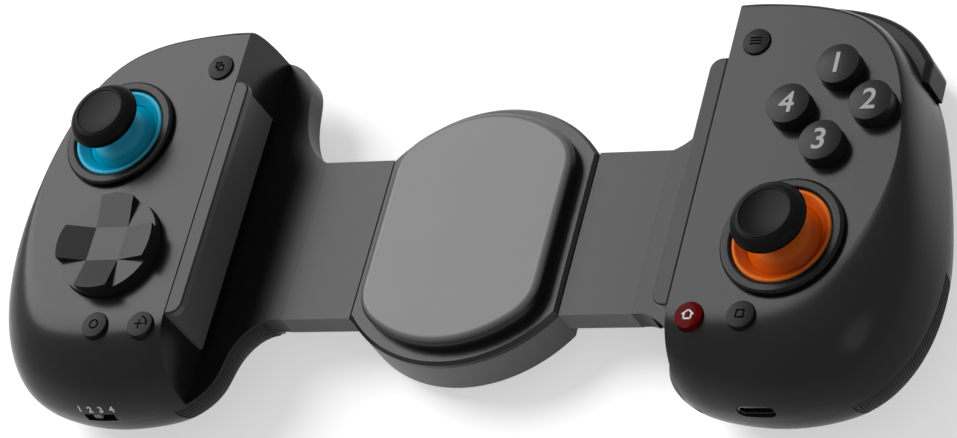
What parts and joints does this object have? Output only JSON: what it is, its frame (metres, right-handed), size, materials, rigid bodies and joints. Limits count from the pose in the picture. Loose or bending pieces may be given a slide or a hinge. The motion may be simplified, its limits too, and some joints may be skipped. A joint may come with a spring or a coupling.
{
  "type": "mobile game controller",
  "caption": "Telescopic game controller: two grips with sticks, buttons and triggers slide apart on a geared centre body and clamp a phone between soft jaws.",
  "frame": {"origin": "centre of the bounding box on the plane that the palms rest on", "axes": "+X towards the player's right, +Y away from the player, +Z out of the face"},
  "size_m": [0.2456, 0.1084, 0.0464],
  "materials": {
    "casing_grey": "fine satin moulding",
    "casing_black": "polished",
    "arm_grey": "satin",
    "jaw_rubber": "soft touch",
    "bezel_black": "satin",
    "inner_black": "moulded",
    "inner_white": "moulded",
    "cap_rubber": "soft touch",
    "board_green": "solder mask",
    "grip_rubber": "fine ribs",
    "screw_steel": "blackened",
    "pin_steel": "ground",
    "spring_steel": "drawn wire",
    "shoulder_black": "polished",
    "centre_black": "polished",
    "pad_rubber": "soft touch",
    "ring_blue": "polished",
    "ring_orange": "polished",
    "dpad_black": "satin",
    "membrane_silicone": "translucent silicone",
    "mini_grey": "satin",
    "mini_red": "polished",
    "switch_grey": "satin",
    "cell_wrap": "foil wrap",
    "port_steel": "stamped",
    "button_black": "satin"
  },
  "bodies": {
    "centre": {"centre_cover": "centre_black", "centre_base": "centre_black", "phone_pad": "pad_rubber", "pinion_pin": "pin_steel", "centre_screws": "screw_steel", "left_return_spring": "spring_steel", "right_return_spring": "spring_steel"},
    "pinion": {"sync_pinion": "inner_white"},
    "left_grip": {"left_front_shell": "casing_grey", "left_rear_shell": "casing_black", "left_arm": "arm_grey", "left_clamp_jaw": "jaw_rubber", "left_stick_bezel": "bezel_black", "left_stick_ring": "ring_blue", "left_stick_module": "inner_black", "left_circuit_board": "board_green", "left_grip_rubber": "grip_rubber", "left_grip_screws": "screw_steel", "left_shoulder_pins": "pin_steel", "dpad_post": "inner_black", "dpad_membrane": "membrane_silicone", "battery": "cell_wrap"},
    "left_gimbal": {"left_stick_gimbal": "inner_black"},
    "left_stem": {"left_stick_stem": "inner_white"},
    "left_thumb": {"left_stick_dome": "ring_blue", "left_stick_cap": "cap_rubber"},
    "left_bumper": {"left_bumper": "shoulder_black"},
    "left_trigger": {"left_trigger": "shoulder_black"},
    "right_grip": {"right_front_shell": "casing_grey", "right_rear_shell": "casing_black", "right_arm": "arm_grey", "right_clamp_jaw": "jaw_rubber", "right_stick_bezel": "bezel_black", "right_stick_ring": "ring_orange", "right_stick_module": "inner_black", "right_circuit_board": "board_green", "right_grip_rubber": "grip_rubber", "right_grip_screws": "screw_steel", "right_shoulder_pins": "pin_steel", "button_membrane": "membrane_silicone", "usb_port": "port_steel"},
    "right_gimbal": {"right_stick_gimbal": "inner_black"},
    "right_stem": {"right_stick_stem": "inner_white"},
    "right_thumb": {"right_stick_dome": "ring_orange", "right_stick_cap": "cap_rubber"},
    "right_bumper": {"right_bumper": "shoulder_black"},
    "right_trigger": {"right_trigger": "shoulder_black"},
    "dpad_ball": {"dpad_ball": "pin_steel"},
    "dpad": {"dpad": "dpad_black"},
    "button_top": {"button_top": "button_black"},
    "button_bottom": {"button_bottom": "button_black"},
    "button_left": {"button_left": "button_black"},
    "button_right": {"button_right": "button_black"},
    "tabs_button": {"tabs_button": "mini_grey"},
    "macro_button": {"macro_button": "mini_grey"},
    "plus_button": {"plus_button": "mini_grey"},
    "menu_button": {"menu_button": "mini_grey"},
    "home_button": {"home_button": "mini_red"},
    "mode_button": {"mode_button": "mini_grey"},
    "mode_switch": {"mode_switch": "switch_grey"}
  },
  "joints": [
    {"name": "right_slide", "type": "slide", "parent": "centre", "child": "right_grip", "axis": [1, 0, 0], "range_m": [0, 0.02], "stiffness_N_per_m": 150, "springref_m": -0.01, "deforming": ["right_return_spring"]},
    {"name": "left_slide", "type": "slide", "parent": "centre", "child": "left_grip", "axis": [-1, 0, 0], "range_m": [0, 0.02], "deforming": ["left_return_spring"]},
    {"name": "pinion_spin", "type": "hinge", "parent": "centre", "child": "pinion", "pos_m": [0, -0.00454, 0.0093], "axis": [0, 0, 1], "range_deg": [-192, 1]},
    {"name": "left_stick_pitch", "type": "hinge", "parent": "left_grip", "child": "left_gimbal", "pos_m": [-0.09595, 0.0156, 0.0255], "axis": [1, 0, 0], "range_deg": [-18, 18], "stiffness_Nm_per_rad": 0.01},
    {"name": "left_stick_roll", "type": "hinge", "parent": "left_gimbal", "child": "left_stem", "pos_m": [-0.09595, 0.0156, 0.0255], "axis": [0, 1, 0], "range_deg": [-18, 18], "stiffness_Nm_per_rad": 0.01},
    {"name": "left_stick_click", "type": "slide", "parent": "left_stem", "child": "left_thumb", "axis": [0, 0, -1], "range_m": [0, 0.0005], "stiffness_N_per_m": 1500, "springref_m": -0.0005},
    {"name": "left_bumper_press", "type": "hinge", "parent": "left_grip", "child": "left_bumper", "pos_m": [-0.0755, 0.04346, 0.02], "axis": [0, 0, 1], "range_deg": [0, 1.4], "stiffness_Nm_per_rad": 0.8, "springref_deg": -1.15},
    {"name": "left_trigger_pull", "type": "hinge", "parent": "left_grip", "child": "left_trigger", "pos_m": [-0.0915, 0.03646, 0.0114], "axis": [-0.9703, -0.2419, 0], "range_deg": [0, 14], "stiffness_Nm_per_rad": 0.1, "springref_deg": -5.73},
    {"name": "right_stick_pitch", "type": "hinge", "parent": "right_grip", "child": "right_gimbal", "pos_m": [0.09194, -0.01902, 0.0255], "axis": [1, 0, 0], "range_deg": [-18, 18], "stiffness_Nm_per_rad": 0.01},
    {"name": "right_stick_roll", "type": "hinge", "parent": "right_gimbal", "child": "right_stem", "pos_m": [0.09194, -0.01902, 0.0255], "axis": [0, 1, 0], "range_deg": [-18, 18], "stiffness_Nm_per_rad": 0.01},
    {"name": "right_stick_click", "type": "slide", "parent": "right_stem", "child": "right_thumb", "axis": [0, 0, -1], "range_m": [0, 0.0005], "stiffness_N_per_m": 1500, "springref_m": -0.0005},
    {"name": "right_bumper_press", "type": "hinge", "parent": "right_grip", "child": "right_bumper", "pos_m": [0.0755, 0.04346, 0.02], "axis": [0, 0, -1], "range_deg": [0, 1.4], "stiffness_Nm_per_rad": 0.8, "springref_deg": -1.15},
    {"name": "right_trigger_pull", "type": "hinge", "parent": "right_grip", "child": "right_trigger", "pos_m": [0.0915, 0.03646, 0.0114], "axis": [-0.9703, 0.2419, 0], "range_deg": [0, 14], "stiffness_Nm_per_rad": 0.1, "springref_deg": -5.73},
    {"name": "dpad_pitch", "type": "hinge", "parent": "left_grip", "child": "dpad_ball", "pos_m": [-0.08749, -0.01749, 0.0324], "axis": [1, 0, 0], "range_deg": [-3.5, 3.5], "stiffness_Nm_per_rad": 0.1},
    {"name": "dpad_roll", "type": "hinge", "parent": "dpad_ball", "child": "dpad", "pos_m": [-0.08749, -0.01749, 0.0324], "axis": [0, 1, 0], "range_deg": [-3.5, 3.5], "stiffness_Nm_per_rad": 0.1},
    {"name": "button_top_press", "type": "slide", "parent": "right_grip", "child": "button_top", "axis": [0, 0, -1], "range_m": [0, 0.0012], "stiffness_N_per_m": 400, "springref_m": -0.0005},
    {"name": "button_bottom_press", "type": "slide", "parent": "right_grip", "child": "button_bottom", "axis": [0, 0, -1], "range_m": [0, 0.0012], "stiffness_N_per_m": 400, "springref_m": -0.0005},
    {"name": "button_left_press", "type": "slide", "parent": "right_grip", "child": "button_left", "axis": [0, 0, -1], "range_m": [0, 0.0012], "stiffness_N_per_m": 400, "springref_m": -0.0005},
    {"name": "button_right_press", "type": "slide", "parent": "right_grip", "child": "button_right", "axis": [0, 0, -1], "range_m": [0, 0.0012], "stiffness_N_per_m": 400, "springref_m": -0.0005},
    {"name": "tabs_button_press", "type": "slide", "parent": "left_grip", "child": "tabs_button", "axis": [0, 0, -1], "range_m": [0, 0.0005], "stiffness_N_per_m": 800, "springref_m": -0.0003},
    {"name": "macro_button_press", "type": "slide", "parent": "left_grip", "child": "macro_button", "axis": [0, 0, -1], "range_m": [0, 0.0005], "stiffness_N_per_m": 800, "springref_m": -0.0003},
    {"name": "plus_button_press", "type": "slide", "parent": "left_grip", "child": "plus_button", "axis": [0, 0, -1], "range_m": [0, 0.0005], "stiffness_N_per_m": 800, "springref_m": -0.0003},
    {"name": "menu_button_press", "type": "slide", "parent": "right_grip", "child": "menu_button", "axis": [0, 0, -1], "range_m": [0, 0.0005], "stiffness_N_per_m": 800, "springref_m": -0.0003},
    {"name": "home_button_press", "type": "slide", "parent": "right_grip", "child": "home_button", "axis": [0, 0, -1], "range_m": [0, 0.0005], "stiffness_N_per_m": 800, "springref_m": -0.0003},
    {"name": "mode_button_press", "type": "slide", "parent": "right_grip", "child": "mode_button", "axis": [0, 0, -1], "range_m": [0, 0.0005], "stiffness_N_per_m": 800, "springref_m": -0.0003},
    {"name": "mode_switch_slide", "type": "slide", "parent": "left_grip", "child": "mode_switch", "axis": [1, 0, 0], "range_m": [-0.002, 0.004]}
  ],
  "couplings": [
    {"joint": "left_slide", "follows": "right_slide", "ratio": 1},
    {"joint": "pinion_spin", "follows": "right_slide", "rad_per_m": -166.67}
  ]
}
